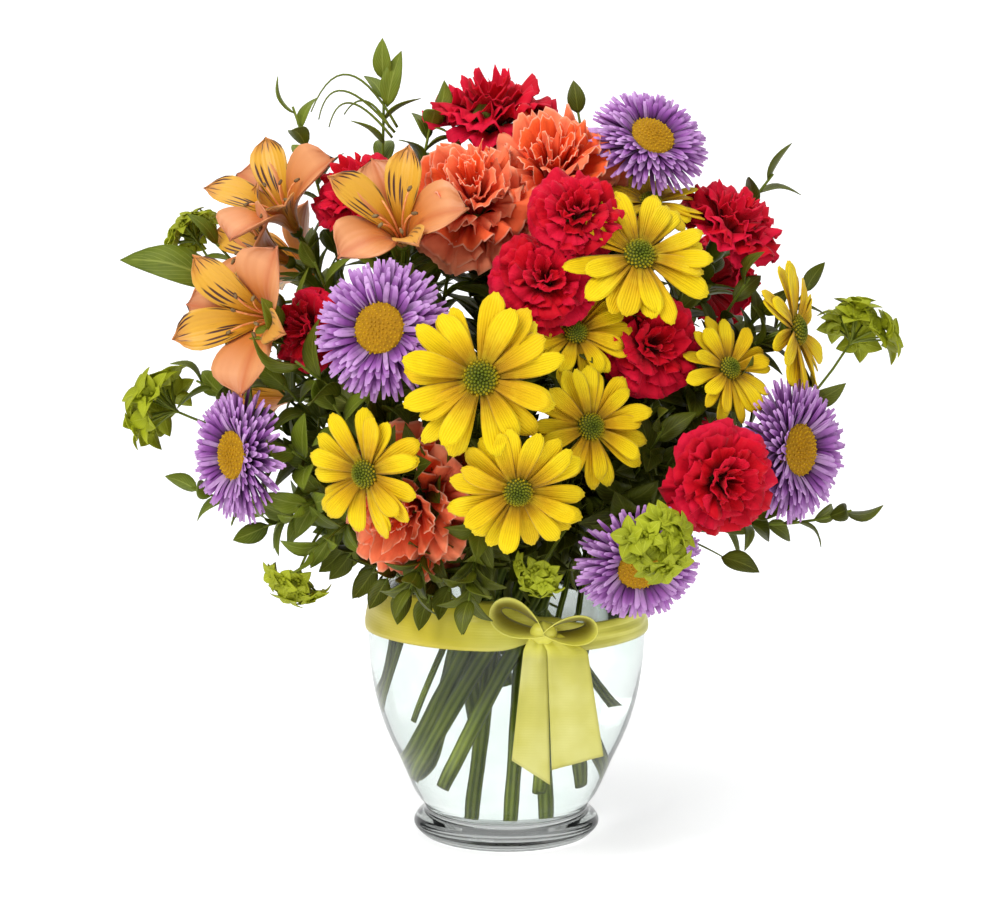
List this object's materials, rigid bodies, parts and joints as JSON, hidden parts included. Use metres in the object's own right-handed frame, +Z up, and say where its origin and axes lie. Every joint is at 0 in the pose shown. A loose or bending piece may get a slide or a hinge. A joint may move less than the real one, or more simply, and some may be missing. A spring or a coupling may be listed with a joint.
{
  "type": "mixed flower bouquet in a glass vase",
  "caption": "Round bouquet of daisies, asters, carnations, spray carnations, alstroemeria and leafy greenery standing in a footed clear glass vase of water tied with a satin ribbon bow.",
  "frame": {"origin": "centre of the vase's foot, on the surface that it stands on", "axes": "+Z up along the vase's axis, -Y to the bouquet's front, which the bow faces, +X to the right of the front view"},
  "size_m": [0.3083, 0.2447, 0.3182],
  "materials": {
    "glass": "clear polished soda-lime glass",
    "water": "clear water",
    "ribbon": "pale yellow satin",
    "stem": "fresh green stems, cups and buttons",
    "daisy_petal": "bright yellow petals",
    "aster_petal": "lavender purple rays",
    "aster_disc": "golden florets",
    "mini_petal": "crimson pink petals",
    "carnation_petal": "coral petals",
    "alstro_petal": "peach orange tepals",
    "dark_leaf": "dark green leaves",
    "lime_leaf": "lime green bracts"
  },
  "bodies": {
    "root": {"vase": "glass", "water": "water", "ribbon_band": "ribbon", "ribbon_bow": "ribbon", "daisy_spray_1": "stem", "daisy_spray_2": "stem", "daisy_spray_3": "stem", "aster_spray_1": "stem", "aster_spray_2": "stem", "aster_stem_3": "stem", "alstro_spray": "stem", "mini_spray_1": "stem", "mini_spray_2": "stem", "carnation_stem_1": "stem", "carnation_stem_2": "stem", "carnation_stem_3": "stem", "daisy_1": "daisy_petal", "daisy_2": "daisy_petal", "daisy_3": "daisy_petal", "daisy_4": "daisy_petal", "daisy_5": "daisy_petal", "daisy_6": "daisy_petal", "daisy_7": "daisy_petal", "daisy_8": "daisy_petal", "daisy_9": "daisy_petal", "aster_1": "aster_petal", "aster_2": "aster_petal", "aster_3": "aster_petal", "aster_4": "aster_petal", "aster_5": "aster_petal", "aster_disc_1": "aster_disc", "aster_disc_2": "aster_disc", "aster_disc_3": "aster_disc", "aster_disc_4": "aster_disc", "aster_disc_5": "aster_disc", "mini_1": "mini_petal", "mini_2": "mini_petal", "mini_3": "mini_petal", "mini_4": "mini_petal", "mini_5": "mini_petal", "mini_6": "mini_petal", "carnation_1": "carnation_petal", "carnation_2": "carnation_petal", "carnation_3": "carnation_petal", "alstro_1": "alstro_petal", "alstro_2": "alstro_petal", "alstro_3": "alstro_petal", "alstro_4": "alstro_petal", "mini_spray_3": "mini_petal", "back_daisies": "daisy_petal", "back_asters": "aster_petal", "back_minis": "mini_petal", "back_carnation": "carnation_petal", "back_alstros": "alstro_petal", "leafy_stem_1": "dark_leaf", "leafy_stem_2": "dark_leaf", "collar_leaves_1": "dark_leaf", "collar_leaves_2": "dark_leaf", "lime_stem_1": "lime_leaf", "lime_stem_2": "lime_leaf"}
  },
  "joints": []
}
